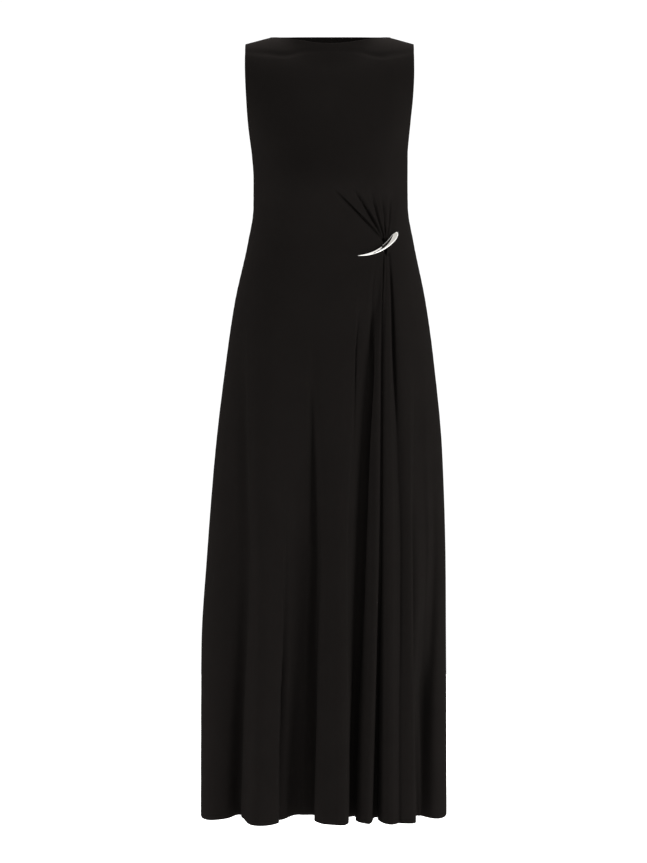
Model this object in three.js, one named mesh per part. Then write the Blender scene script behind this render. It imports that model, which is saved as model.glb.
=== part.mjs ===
// A sleeveless floor-length dress of black jersey, hollow and filled out as if worn: a boat neck,
// cut-in armholes, one front and one back that both run from shoulder to hem, and a horn-shaped
// metal ornament that gathers the front beside the waist.
// Millimetres, +Z up. The front faces -Y and the wearer's left is +X. The origin lies midway
// between the shoulders, at the height where the wearer carries the dress.
import * as THREE from "three";

// Driving sizes
const wall = 1.4; // thickness of the jersey
const seamGap = 0.3; // between two pieces that are sewn together
const shoulder = { neckX: 114, tipDrop: 12 };
const neck = { frontReach: 50, frontDrop: 15, backReach: 52, backRise: 5, roundness: 2.2 };
const yokeZ = -64; // down to here the cloth rounds the shoulder
// Degrees below level at which the cloth leaves the shoulder seam and the middle of the neckline,
// and how far inside and outside the neck point the one passes into the other
const yokeTilt = { shoulder: 12, middle: 70, inside: 60, outside: 10 };
const underarmZ = -215;
const armholeReach = { front: 44, back: 48 }; // how far each armhole edge is cut in from the side
const armholeRoundness = 0.65;
const hemZ = -1490;
// Each side of the hem hangs a little lower, and the power says how close to the side it starts to
const hemDrop = { right: 19, left: 15, from: -1000, power: 3 };
const ornament = {
  tipX: 50.5,
  tipZ: -408,
  length: 91,
  width: 14.2,
  height: 5.4,
  startAngle: 2,
  turn: 60,
  turnPower: 1.15, // it bends more towards the round end
  taperPower: 0.7,
  roundFrom: 0.82, // share of the length from which the end is rounded off
  leastTip: 0.012, // share of the length that the point's width is taken at
  leastEnd: 0.02,
  lowHeight: 0.25, // what the height keeps where the horn is slimmest
  heightPower: 0.3,
  standoff: 0.45,
  slices: 26,
  slicePower: 1.35, // slices lie closer together towards the round end
  sides: 22,
};
// The slot along the ornament's upper side, in shares of its length and of its width from the middle
const slot = {
  from: 0.5,
  to: 0.96,
  ease: 0.07,
  startAcross: 0.13,
  endAcross: 0.36,
  reach: 0.11,
  depth: 0.65,
};
const gatherZ = -385; // the height at which the ornament pinches the cloth

// How far the cloth reaches at each level, and how square its ring is (2 is an ellipse)
const levels = [
  { z: -1490, left: 256, right: 232, front: 150, back: 152, square: 3.1 },
  { z: -1170, left: 252, right: 228, front: 139, back: 146, square: 2.9 },
  { z: -1000, left: 240.5, right: 226, front: 133, back: 142, square: 2.75 },
  { z: -790, left: 222.5, right: 218, front: 126, back: 137, square: 2.5 },
  { z: -610, left: 200, right: 200, front: 119, back: 131, square: 2.35 },
  { z: -500, left: 183, right: 184, front: 115, back: 118, square: 2.3 },
  { z: -385, left: 157, right: 160, front: 112, back: 92, square: 2.25 },
  { z: -320, left: 146.5, right: 149, front: 119, back: 86, square: 2.2 },
  { z: -265, left: 146, right: 148, front: 126, back: 93, square: 2.2 },
  { z: -215, left: 149.5, right: 148, front: 119, back: 100, square: 2.15 },
  { z: -160, left: 155, right: 151.5, front: 103, back: 102, square: 2.1 },
  { z: -110, left: 158, right: 156, front: 85, back: 96, square: 2.1 },
  { z: -64, left: 160, right: 158, front: 68, back: 80, square: 2.1 },
  { z: -12, left: 161, right: 158, front: 40, back: 50, square: 2.1 },
];

// Turns rows of values under named columns into one object for each row
const table = (columns, rows) =>
  rows.map((row) => Object.fromEntries(columns.map((key, i) => [key, row[i]])));

// The lines that folds follow, from the wearer's right to the left. The first columns say where a
// line runs at each station, and the last ones how far it lies behind the outline there.
const lineColumns = ["name", "neck", "bust", "fan", "waist", "hip", "knee", "hem"]
  .concat(["fanIn", "waistIn", "hipIn", "kneeIn", "hemIn"]);
const frontLines = table(lineColumns, [
  ["side_crest_right", -150, -138, -138, -150, -186, -214, -239, 0, 0, 0, 0, 0],
  ["trough_1", -134, -122, -122, -134, -163, -162, -184, 0, 0, 4, 24, 66],
  ["ridge_1_start", -114, -104, -104, -114, -142, -140, -161, 0, 0, 0, -2, -7],
  ["ridge_1_end", -101, -82, -80, -86, -108, -103, -101, 0, 0, 0, 0, -7],
  ["ridge_1_foot", -90, -68, -66, -70, -92, -84, -88, 0, 0, 2, 14, 44],
  ["trough_2", -78, -52, -46, -38, -36, -34, -52, 0, 0, 4, 38, 76],
  ["ridge_2_start", -66, -34, -24, -6, -6, -4, -17, 0, 0, 0, -3, -6],
  ["ridge_2_end", -46, -12, 8, 76, 45.5, 38, 37.5, 0, 0, 0, -2, -4],
  ["trough_3", -26, 6, 31, 97, 73, 58, 41, 4, 0.8, 18, 43, 52],
  ["ridge_3_rise", -6, 24, 46, 99.2, 80, 66, 50, -1, 0, 9, 15, 17],
  ["ridge_3_pleat", 14, 42, 57, 101.4, 86, 79, 67, 4, 0.8, 3, 6, 9],
  ["ridge_3_crest", 34, 57, 71, 103.6, 92.5, 90.5, 81, -1, 0, -1, 0, 0],
  ["trough_4", 52, 74, 87, 105.6, 98.5, 96, 89.5, 4, 0.8, 6, 18, 60],
  ["ridge_4_start", 66, 85, 93.5, 107.4, 103.5, 103, 98, -1, 0, 0, 2, 15],
  ["ridge_4_pleat", 78, 94, 100, 109.2, 108, 114, 111, 3, 0.8, 0, 0, 2],
  ["ridge_4_end", 88, 104, 109, 111, 114, 122, 123, -1, 0, -1, 0, 1],
  ["trough_5", 97, 113, 118, 113, 120, 133, 134, 4, 0.8, 7, 10, 13],
  ["ridge_5_crest", 106, 122, 126, 119, 131, 152, 170, 0, 0, -1, -4, -2],
  ["ridge_5_foot", 114, 128, 131, 127, 150, 172, 183, 0, 0, 1, -2, 40],
  ["trough_6", 128, 134, 137, 138, 168, 193, 197, 0, 0, 2, 26, 46],
  ["side_crest_left", 145, 141, 142, 150, 184, 212, 217, 0, 0, 0, 0, 0],
]);

// The same for the back, which nothing gathers
const backLines = table(lineColumns, [
  ["side_crest_right", -150, -137, -137, -148, -184, -213, -238, 0, 0, 0, 0, 0],
  ["trough_1", -133, -124, -124, -135, -166, -188, -207, 0, 0, 2, 14, 40],
  ["ridge_1", -114, -106, -106, -117, -146, -162, -176, 0, 0, 0, 0, -3],
  ["trough_2", -92, -84, -84, -92, -114, -123, -131, 0, 2, 4, 22, 50],
  ["ridge_2", -68, -60, -60, -66, -82, -88, -97, 0, 0, 0, 0, 0],
  ["trough_3", -42, -38, -38, -40, -49, -51, -53, 0, 1, 2, 13, 38],
  ["ridge_3", -14, -12, -12, -12, -14, -13, -12, 0, 0, 0, -1, -4],
  ["trough_4", 16, 16, 16, 18, 22, 27, 33, 0, 1, 4, 24, 54],
  ["ridge_4", 42, 40, 40, 44, 54, 61, 68, 0, 0, 0, 0, -2],
  ["trough_5", 66, 64, 64, 70, 86, 95, 101, 0, 2, 3, 14, 42],
  ["ridge_5", 92, 88, 88, 96, 118, 130, 136, 0, 0, 0, 0, 0],
  ["trough_6", 114, 110, 110, 120, 148, 165, 172, 0, 0, 3, 18, 46],
  ["side_crest_left", 140, 133, 133, 144, 177, 202, 211, 0, 0, 0, 0, 0],
]);

// The heights of the stations
const stations = [
  { at: "neck", z: yokeZ },
  { at: "bust", z: -268 },
  { at: "fan", z: -308 },
  { at: "waist", z: gatherZ },
  { at: "hip", z: -610 },
  { at: "knee", z: -1000 },
  { at: "hem", z: hemZ },
];

// A smooth curve through (z, value) pairs that never swings past them
function monotoneCurve(pairs) {
  const p = [...pairs].sort((a, b) => a[0] - b[0]);
  const slopes = p.slice(1).map((q, i) => (q[1] - p[i][1]) / (q[0] - p[i][0]));
  const tangents = p.map((_, i) => {
    if (i === 0 || i === p.length - 1) return slopes[Math.min(i, slopes.length - 1)];
    const [a, b] = [slopes[i - 1], slopes[i]];
    return a * b <= 0 ? 0 : (2 * a * b) / (a + b);
  });
  return (z) => {
    if (z <= p[0][0]) return p[0][1];
    if (z >= p[p.length - 1][0]) return p[p.length - 1][1];
    const i = p.findIndex((q) => q[0] > z) - 1;
    const span = p[i + 1][0] - p[i][0];
    const t = (z - p[i][0]) / span;
    const [t2, t3] = [t * t, t * t * t];
    return (
      (2 * t3 - 3 * t2 + 1) * p[i][1] +
      (t3 - 2 * t2 + t) * span * tangents[i] +
      (3 * t2 - 2 * t3) * p[i + 1][1] +
      (t3 - t2) * span * tangents[i + 1]
    );
  };
}

const levelCurve = (key) => monotoneCurve(levels.map((row) => [row.z, row[key]]));
const reach = Object.fromEntries(
  ["left", "right", "front", "back", "square"].map((key) => [key, levelCurve(key)]),
);
const smoothstep = (from, to, x) => {
  const t = Math.min(1, Math.max(0, (x - from) / (to - from)));
  return t * t * (3 - 2 * t);
};

// A cubic B-spline through a row of control values, which keeps both end values
function spline(values, u) {
  const last = values.length - 1;
  const at = (i) => {
    if (i < 0) return 2 * values[0] - values[1];
    if (i > last) return 2 * values[last] - values[last - 1];
    return values[i];
  };
  const i = Math.min(last - 1, Math.floor(u));
  const t = u - i;
  const weights = [
    (1 - t) ** 3,
    3 * t ** 3 - 6 * t ** 2 + 4,
    -3 * t ** 3 + 3 * t ** 2 + 3 * t + 1,
    t ** 3,
  ];
  return weights.reduce((sum, w, k) => sum + (w / 6) * at(i - 1 + k), 0);
}

// One half of the dress: the front (facing -Y) or the back (facing +Y), as a smooth surface
function clothHalf(lines, facing, depthKey, armReach) {
  const tracks = lines.map((line) => ({
    x: monotoneCurve(stations.map((s) => [s.z, line[s.at]])),
    inset: monotoneCurve([
      [yokeZ, 0],
      [stations[1].z, 0],
      ...stations.slice(2).map((s) => [s.z, line[s.at + "In"]]),
    ]),
  }));
  // How far forward of the side line the armhole's edge lies
  const edgeDepth = (z) => {
    const share = (z + shoulder.tipDrop) / (underarmZ + shoulder.tipDrop);
    return armReach * Math.max(0, 1 - (2 * share - 1) ** 2) ** armholeRoundness;
  };
  // The ring at height z, seen from above: an outline that runs on under the arm, of which the
  // cloth takes the stretch up to the armhole's edge or, lower down, to the side seam
  const ringSizes = (z) => {
    const square = reach.square(z);
    const depth = reach[depthKey](z);
    const cut = edgeDepth(z) / depth;
    const widening = (1 - cut ** square) ** (-1 / square);
    return {
      square,
      depth,
      left: reach.left(z) * widening,
      right: reach.right(z) * widening,
      edgeAngle: Math.acos(cut ** (square / 2)),
    };
  };
  const angleOf = (x, sizes) => {
    const share = x / (x < 0 ? sizes.left : sizes.right);
    return Math.sign(share) * Math.asin(Math.min(1, Math.abs(share)) ** (sizes.square / 2));
  };
  // A point of the ring and the way out of it
  const ring = (angle, z, sizes) => {
    const { square, depth } = sizes;
    const side = angle < 0 ? sizes.left : sizes.right;
    const across = Math.sign(angle) * Math.abs(Math.sin(angle)) ** (2 / square);
    const ahead = Math.max(0, Math.cos(angle)) ** (2 / square);
    const out = new THREE.Vector3(
      (Math.sign(across) * Math.abs(across) ** (square - 1)) / side,
      (facing * ahead ** (square - 1)) / depth,
      0,
    ).normalize();
    return { point: new THREE.Vector3(side * across, facing * depth * ahead, z), out };
  };
  // A point of the cloth at height z. u counts the fold lines from one side seam to the other
  const body = (u, z) => {
    const sizes = ringSizes(z);
    const lineAngles = tracks.map((t) => angleOf(t.x(z), sizes));
    const angle = spline([-sizes.edgeAngle, ...lineAngles, sizes.edgeAngle], u);
    const inset = spline([0, ...tracks.map((t) => t.inset(z)), 0], u);
    const { point, out } = ring(angle, z, sizes);
    point.addScaledVector(out, -inset);
    const [side, drop] = point.x < 0 ? [reach.left(z), hemDrop.right] : [reach.right(z), hemDrop.left];
    const share = Math.min(1, Math.abs(point.x) / side);
    point.z -= drop * smoothstep(-hemDrop.from, -hemZ, -z) * share ** hemDrop.power;
    return point;
  };
  // The top edge: the neckline between the two neck points, and a shoulder seam on each side
  const topEdge = (x) => {
    const beyond = Math.abs(x) - shoulder.neckX;
    if (beyond >= 0) {
      const tip = (x < 0 ? reach.left(yokeZ) : reach.right(yokeZ)) - shoulder.neckX;
      return new THREE.Vector3(x, 0, (-shoulder.tipDrop * beyond) / tip);
    }
    const inward = 1 - (Math.abs(x) / shoulder.neckX) ** neck.roundness;
    if (facing > 0) return new THREE.Vector3(x, neck.backReach * inward, neck.backRise * inward);
    const scoop = (1 - (x / shoulder.neckX) ** 2) ** 2;
    return new THREE.Vector3(x, -neck.frontReach * inward, -neck.frontDrop * scoop);
  };
  // Between the top edge (share 0) and the yoke line (share 1) the cloth rounds the shoulder
  const yoke = (u, share) => {
    const low = body(u, yokeZ);
    const high = topEdge(low.x);
    const reachOut = Math.hypot(low.y - high.y, low.z - high.z);
    const below = body(u, yokeZ - 1).sub(low).multiplyScalar(reachOut);
    const [inside, outside] = [shoulder.neckX - yokeTilt.inside, shoulder.neckX + yokeTilt.outside];
    const middle = 1 - smoothstep(inside, outside, Math.abs(low.x));
    const degrees = yokeTilt.shoulder + (yokeTilt.middle - yokeTilt.shoulder) * middle;
    const tilt = THREE.MathUtils.degToRad(degrees);
    const leave = new THREE.Vector3(0, facing * Math.cos(tilt), -Math.sin(tilt));
    leave.multiplyScalar(reachOut);
    const [t, t2, t3] = [share, share ** 2, share ** 3];
    return new THREE.Vector3()
      .addScaledVector(high, 2 * t3 - 3 * t2 + 1)
      .addScaledVector(leave, t3 - 2 * t2 + t)
      .addScaledVector(low, 3 * t2 - 2 * t3)
      .addScaledVector(below, t3 - t2);
  };
  // The point of the smooth outline at (x, z), under any folds, and the way out of it
  const outline = (x, z) => ring(angleOf(x, ringSizes(z)), z, ringSizes(z));
  return { body, yoke, outline, facing, lanes: lines.length + 1 };
}

// Heights of the rows of points below the yoke, closest together round the underarm and the gather
function rowHeights({ armRows, closest, widening, widest }) {
  const heights = [];
  for (let i = 0; i <= armRows; i++) {
    heights.push(yokeZ + (underarmZ - yokeZ) * Math.sin((Math.PI * i) / (2 * armRows)));
  }
  const steps = [];
  let z = underarmZ;
  while (z > hemZ) {
    steps.push(Math.min(widest, closest + widening * Math.abs(z - gatherZ)));
    z -= steps.at(-1);
  }
  const fit = (underarmZ - hemZ) / (underarmZ - z);
  z = underarmZ;
  for (const step of steps) {
    z -= step * fit;
    heights.push(z);
  }
  return heights;
}

// A closed wall from a grid of outer points, as thick as the cloth
function wallGeometry(grid, facing, seamAt) {
  const [rows, columns] = [grid.length, grid[0].length];
  const at = (i, j) =>
    grid[Math.min(rows - 1, Math.max(0, i))][Math.min(columns - 1, Math.max(0, j))];
  const normalAt = (i, j) => {
    const across = at(i, j + 1).clone().sub(at(i, j - 1));
    const down = at(i + 1, j).clone().sub(at(i - 1, j));
    const normal = across.cross(down).multiplyScalar(facing);
    if (seamAt(i, j)) normal.y = 0;
    return normal.normalize();
  };
  const positions = [];
  grid.forEach((row) => row.forEach((p) => positions.push(p.x, p.y, p.z)));
  grid.forEach((row, i) =>
    row.forEach((p, j) => {
      const q = p.clone().addScaledVector(normalAt(i, j), -wall);
      positions.push(q.x, q.y, q.z);
    }),
  );
  const inner = rows * columns;
  const index = [];
  const quad = (a, b, c, d) =>
    facing < 0 ? index.push(a, c, b, a, d, c) : index.push(a, b, c, a, c, d);
  for (let i = 0; i < rows - 1; i++) {
    for (let j = 0; j < columns - 1; j++) {
      const a = i * columns + j;
      quad(a, a + 1, a + columns + 1, a + columns);
      quad(inner + a, inner + a + columns, inner + a + columns + 1, inner + a + 1);
    }
  }
  const rim = [];
  for (let j = 0; j < columns - 1; j++) rim.push(j);
  for (let i = 0; i < rows - 1; i++) rim.push(i * columns + columns - 1);
  for (let j = columns - 1; j > 0; j--) rim.push((rows - 1) * columns + j);
  for (let i = rows - 1; i > 0; i--) rim.push(i * columns);
  rim.forEach((a, k) => {
    const b = rim[(k + 1) % rim.length];
    quad(b, a, a + inner, b + inner);
  });
  const geometry = new THREE.BufferGeometry();
  geometry.setAttribute("position", new THREE.Float32BufferAttribute(positions, 3));
  geometry.setIndex(index);
  geometry.computeVertexNormals();
  return geometry;
}

// A sewn piece of cloth: rows over the shoulder first, then rows down to the hem
function panel(name, half, columnsInLane, rowSpacing, material) {
  const { yokeRows } = rowSpacing;
  const columns = [];
  for (let lane = 0; lane < half.lanes; lane++) {
    const count = columnsInLane[lane] ?? columnsInLane.others;
    for (let k = 0; k < count; k++) columns.push(lane + k / count);
  }
  columns.push(half.lanes);
  const grid = [];
  for (let i = 0; i < yokeRows; i++) grid.push(columns.map((u) => half.yoke(u, i / yokeRows)));
  for (const z of rowHeights(rowSpacing)) grid.push(columns.map((u) => half.body(u, z)));
  const underarmRow = grid.findIndex((row) => row[0].z <= underarmZ + 0.01);
  const onSeam = (i, j) => {
    const onSide = (j === 0 || j === columns.length - 1) && i >= underarmRow;
    const onShoulder = i === 0 && Math.abs(grid[0][j].x) >= shoulder.neckX - 0.5;
    return onSide || onShoulder;
  };
  grid.forEach((row, i) =>
    row.forEach((p, j) => {
      if (onSeam(i, j)) p.y = (half.facing * seamGap) / 2;
    }),
  );
  const mesh = new THREE.Mesh(wallGeometry(grid, half.facing, onSeam), material);
  mesh.name = name;
  return mesh;
}

// The ornament: a horn that grows from a point to a round end, with a slot along its upper side
function hornOrnament(half, material) {
  const { slices, sides, length, width: fullWidth, roundFrom } = ornament;
  const centre = [];
  let [x, z] = [ornament.tipX, ornament.tipZ];
  const angleAt = (t) =>
    THREE.MathUtils.degToRad(ornament.startAngle + ornament.turn * t ** ornament.turnPower);
  const shareAt = (i) => 1 - (1 - i / slices) ** ornament.slicePower;
  for (let i = 0; i <= slices; i++) {
    const t = shareAt(i);
    centre.push({ t, x, z, angle: angleAt(t) });
    const step = i < slices ? (shareAt(i + 1) - t) * length : 0;
    const heading = angleAt(t + step / length / 2);
    x += Math.cos(heading) * step;
    z += Math.sin(heading) * step;
  }
  const widthAt = (t) => {
    const grown = fullWidth * Math.max(t, ornament.leastTip) ** ornament.taperPower;
    const past = Math.max(0, (t - roundFrom) / (1 - roundFrom));
    return grown * Math.sqrt(Math.max(ornament.leastEnd, 1 - past ** 2));
  };
  const surface = (px, pz) => {
    const { point, out } = half.outline(px, pz);
    return point.addScaledVector(out, ornament.standoff);
  };
  const positions = [];
  centre.forEach(({ t, x: cx, z: cz, angle }) => {
    const width = widthAt(t);
    const slim = width / fullWidth;
    const grown = Math.min(1, ornament.lowHeight + slim) * slim ** ornament.heightPower;
    const height = ornament.height * grown;
    const opening = smoothstep(slot.from, slot.from + slot.ease, t);
    const open = opening * (1 - smoothstep(slot.to - slot.ease, slot.to, t));
    const along = smoothstep(slot.from, slot.to, t);
    const slotAcross = slot.startAcross + (slot.endAcross - slot.startAcross) * along;
    for (let k = 0; k < sides; k++) {
      const turn = (2 * Math.PI * k) / sides;
      const across = Math.cos(turn) / 2;
      const dome = Math.max(0, Math.sin(turn));
      const sunk = slot.depth * open * Math.exp(-(((across - slotAcross) / slot.reach) ** 2));
      const px = cx - Math.sin(angle) * across * width;
      const pz = cz + Math.cos(angle) * across * width;
      const base = surface(px, pz);
      base.y -= height * dome * (1 - sunk);
      positions.push(base.x, base.y, base.z);
    }
  });
  const index = [];
  for (let i = 0; i < slices; i++) {
    for (let k = 0; k < sides; k++) {
      const [a, b] = [i * sides + k, i * sides + ((k + 1) % sides)];
      index.push(a, b, b + sides, a, b + sides, a + sides);
    }
  }
  const last = slices * sides;
  for (let k = 1; k < sides - 1; k++) {
    index.push(0, k + 1, k);
    index.push(last, last + k, last + k + 1);
  }
  const geometry = new THREE.BufferGeometry();
  geometry.setAttribute("position", new THREE.Float32BufferAttribute(positions, 3));
  geometry.setIndex(index);
  geometry.computeVertexNormals();
  const mesh = new THREE.Mesh(geometry, material);
  mesh.name = "horn_ornament";
  return mesh;
}

const jersey = new THREE.MeshStandardMaterial({ color: 0x1a1716, roughness: 0.85, metalness: 0 });
const metal = new THREE.MeshStandardMaterial({ color: 0xd9d6d0, roughness: 0.22, metalness: 1 });
const front = clothHalf(frontLines, -1, "front", armholeReach.front);
const back = clothHalf(backLines, 1, "back", armholeReach.back);
// Rows of points over the shoulder, down the armhole and further down
const rowSpacing = { yokeRows: 5, armRows: 6, closest: 19, widening: 0.19, widest: 125 };
// Columns of points between two fold lines, by the number of the lane from the wearer's right
const frontColumns = { others: 2, 0: 4, 1: 3, 2: 3, 3: 3, 5: 3, 7: 4, 8: 3, 18: 3, 20: 4, 21: 3 };
const backColumns = { others: 2, 0: 4, 1: 3, 12: 3, 13: 4 };

const dress = new THREE.Group();
dress.add(panel("front_panel", front, frontColumns, rowSpacing, jersey));
dress.add(panel("back_panel", back, backColumns, rowSpacing, jersey));
dress.add(hornOrnament(front, metal));

export default dress;
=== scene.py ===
"""A sleeveless floor-length dress of black jersey, hollow and filled out as if worn.

Sizes are millimetres in the frame of the solids: +Z up, the front faces -Y and the wearer's left is
+X. MM turns them into Blender's metres.
"""
import math
from collections import namedtuple

import bpy
import numpy as np
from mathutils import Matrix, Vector


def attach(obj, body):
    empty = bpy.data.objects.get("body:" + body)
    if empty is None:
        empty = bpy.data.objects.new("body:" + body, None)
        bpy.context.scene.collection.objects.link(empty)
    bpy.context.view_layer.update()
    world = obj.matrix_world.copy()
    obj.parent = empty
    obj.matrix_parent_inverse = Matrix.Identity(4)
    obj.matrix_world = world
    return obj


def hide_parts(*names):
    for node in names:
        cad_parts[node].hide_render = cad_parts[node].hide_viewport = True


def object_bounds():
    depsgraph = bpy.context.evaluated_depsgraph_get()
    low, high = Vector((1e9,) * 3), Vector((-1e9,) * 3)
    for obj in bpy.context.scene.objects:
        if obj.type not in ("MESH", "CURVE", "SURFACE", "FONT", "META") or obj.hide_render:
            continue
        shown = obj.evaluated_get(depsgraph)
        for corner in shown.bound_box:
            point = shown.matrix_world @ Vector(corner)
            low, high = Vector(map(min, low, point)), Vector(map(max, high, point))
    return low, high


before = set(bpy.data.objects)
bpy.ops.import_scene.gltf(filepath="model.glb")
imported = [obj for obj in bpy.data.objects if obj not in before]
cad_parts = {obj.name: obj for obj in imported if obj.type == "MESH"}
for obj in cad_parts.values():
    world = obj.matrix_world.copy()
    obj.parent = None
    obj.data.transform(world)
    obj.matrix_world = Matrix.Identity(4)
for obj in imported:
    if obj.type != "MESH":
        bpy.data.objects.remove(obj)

MM = 0.001
cad_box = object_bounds()

# Driving sizes, the same as the solids have
NECK_X = 114
SHOULDER_DROP = 12
NECK_FRONT_REACH = 50
NECK_FRONT_DROP = 15
NECK_BACK_REACH = 52
NECK_BACK_RISE = 5
NECK_ROUNDNESS = 2.2  # how square the back neckline's curve is
YOKE_Z = -64
YOKE_TILT_SHOULDER = 12  # degrees below level that the cloth leaves the shoulder seam at
YOKE_TILT_MIDDLE = 70  # and the middle of the neckline
YOKE_TILT_INSIDE = 60  # how far inside the neck points the one turns into the other
YOKE_TILT_OUTSIDE = 10  # and how far outside them
UNDERARM_Z = -215
ARMHOLE_FRONT = 44
ARMHOLE_BACK = 48
ARMHOLE_ROUNDNESS = 0.65  # how full the armhole's curve is
HEM_Z = -1490
HEM_DROP_RIGHT = 19
HEM_DROP_LEFT = 15
HEM_DROP_FROM = -1000
HEM_DROP_POWER = 3
GATHER_Z = -385

FLOOR_GAP = 0.3  # metres between the hem and the floor

# How the cloth itself is made
CLOTH = 1.0  # thickness of the jersey
TURNED = 0.9  # what a turned edge adds inside
NECK_TURN = 9  # width of the turning at the neck and the armholes
HEM_TURN = 24  # width of the turning at the hem
TURN_FADE = 1.5  # how far a turning takes to come down to the plain cloth
EDGE_ROUND = 0.45  # how far a rounded edge stands out, as a share of the thickness
SEAM_DIP = 0.9  # how far a seam sinks
SEAM_REACH = 1.6  # and how far from its line
PUCKER = 0.35  # depth of the small waves along the side seams
PUCKER_STEP = 2.9  # their wavelength is this times tau,
PUCKER_SWAY = 1.7  # and it shifts to and fro by this
PUCKER_SWAY_STEP = 23  # over this times tau
PUCKER_REACH = 7  # how far from the seam they fade

# The slight unevenness of the cloth, in large and in small waves
Waves = namedtuple("Waves", "height longest count stretch")
LARGE_WAVES = Waves(0.5, 160, 9, 4)
SMALL_WAVES = Waves(0.22, 46, 9, 3)
SHORTEST_SHARE = 0.35  # the shortest wave, as a share of the longest
WAVES_DEEP = 0.5  # how much a step in depth counts against one across
EVEN_AT_SIDE = 40  # how far from a seam the waves are full,
EVEN_AT_TOP = 60  # and how far below the top edge

# Where the points of the cloth lie: their spacing at a crease, how it widens and its widest
Columns = namedtuple("Columns", "at_crease growth widest")
CLOTH_COLUMNS = Columns(1.37, 0.12, 4.8)
EDGE_COLUMN = 0.45  # spacing of the columns right at a side seam
EDGE_GROWTH = 0.25
FINE_STEPS = 80  # places tried between two fold lines
Rows = namedtuple("Rows", "at_gather at_hem widening widest")
CLOTH_ROWS = Rows(2.8, 5.0, 0.04, 12.5)
ARM_ROWS = 22
YOKE_TOP_SHARES = (0, 0.015, 0.035, 0.06)  # rows close to the top edge
YOKE_SHARE_FROM = 0.09  # where the even rows of the yoke begin
YOKE_ROWS = 17

# The horn ornament, as the solids have it
HORN_TIP_X = 50.5
HORN_TIP_Z = -408
HORN_LENGTH = 91
HORN_WIDTH = 14.2
HORN_HEIGHT = 5.4
HORN_START_ANGLE = 2
HORN_TURN = 60
HORN_TURN_POWER = 1.15  # how late the turn comes
HORN_STANDOFF = 0.45
HORN_EDGE = 0.5  # thickness at its edge where it is widest
HORN_TAPER_POWER = 0.7
HORN_TIP_T = 0.006  # the taper stops here, so the tip has a width
HORN_ROUND_T = 0.82  # where the broad end begins to round off
HORN_END_SHARE = 0.004  # what the rounding leaves at the very end
HORN_LOW = 0.25  # height where it is slimmest, as a share of the full one
HORN_LOW_POWER = 0.3
HORN_SLICES = 180
HORN_SLICE_POWER = 1.35  # how much closer the slices lie at the broad end
HORN_ACROSS = 64
DOME_SQUARE = 2.5  # how flat the face is
DOME_FULL = 0.6  # how steeply it falls at the edges
DOME_LEAST = 0.04
SLOT_DEPTH = 0.7  # as shares of the height, like the next three
RIM_HEIGHT = 0.5
FIELD_DEPTH = 0.05
LINE_DEPTH = 0.22
# how far painted shade darkens the thin rim's colour
RIM_SHADE = 0.45

# The edge between its two leaves: places along the horn (t) and across it (s)
LeafEdge = namedtuple("LeafEdge", "t s")
LEAF_EDGE = [
    LeafEdge(0.26, -0.42),
    LeafEdge(0.54, 0.12),
    LeafEdge(0.555, -0.28),
    LeafEdge(0.68, -0.02),
    LeafEdge(0.76, 0.16),
    LeafEdge(0.85, 0.46),
    LeafEdge(0.93, 0.8),
    LeafEdge(0.97, 1.1),
]
LEAF_END_T = 0.545  # where the slim leaf ends
LEAF_END_WIDTH = 0.012
LEAF_END_SLANT = 0.02
RIM_S = 0.8  # where the thin rim begins
RIM_FADE = 0.08
LINE_WIDTH = 0.3
LINE_FROM = (0.2, 0.36)  # where the line between the leaves comes in
LINE_BRIGHT = 0.85  # it is broken: this much, and this wave to either side of it
LINE_WAVE = 0.35
LINE_WAVES = 75

# Where each part of the horn's face comes in or fades out, as two places
ALONG_FADE = 0.01
SLOT_FADE = 0.12
LEAF_END_SIDE = (-0.25, 0.0)
RIM_END = (0.92, 0.97)
RIM_EDGE = (0.94, 1)
FIELD_OUTER = (-0.62, -0.5)
FIELD_INNER = (-0.16, -0.06)
FIELD_START = (0.53, 0.58)
FIELD_END = (0.95, 0.99)

# Flat cuts, in metres and square metres
FRONT_CUT = (0.85, 1.54)
FRONT_AREA = 0.93
BACK_CUT = (0.69, 1.54)
BACK_AREA = 0.83

# How far the cloth reaches at each level, and how square its ring is (2 is an ellipse)
Level = namedtuple("Level", "z left right front back square")
LEVELS = [
    Level(-1490, 256, 232, 150, 152, 3.1),
    Level(-1170, 252, 228, 139, 146, 2.9),
    Level(-1000, 240.5, 226, 133, 142, 2.75),
    Level(-790, 222.5, 218, 126, 137, 2.5),
    Level(-610, 200, 200, 119, 131, 2.35),
    Level(-500, 183, 184, 115, 118, 2.3),
    Level(-385, 157, 160, 112, 92, 2.25),
    Level(-320, 146.5, 149, 119, 86, 2.2),
    Level(-265, 146, 148, 126, 93, 2.2),
    Level(-215, 149.5, 148, 119, 100, 2.15),
    Level(-160, 155, 151.5, 103, 102, 2.1),
    Level(-110, 158, 156, 85, 96, 2.1),
    Level(-64, 160, 158, 68, 80, 2.1),
    Level(-12, 161, 158, 40, 50, 2.1),
]

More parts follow.
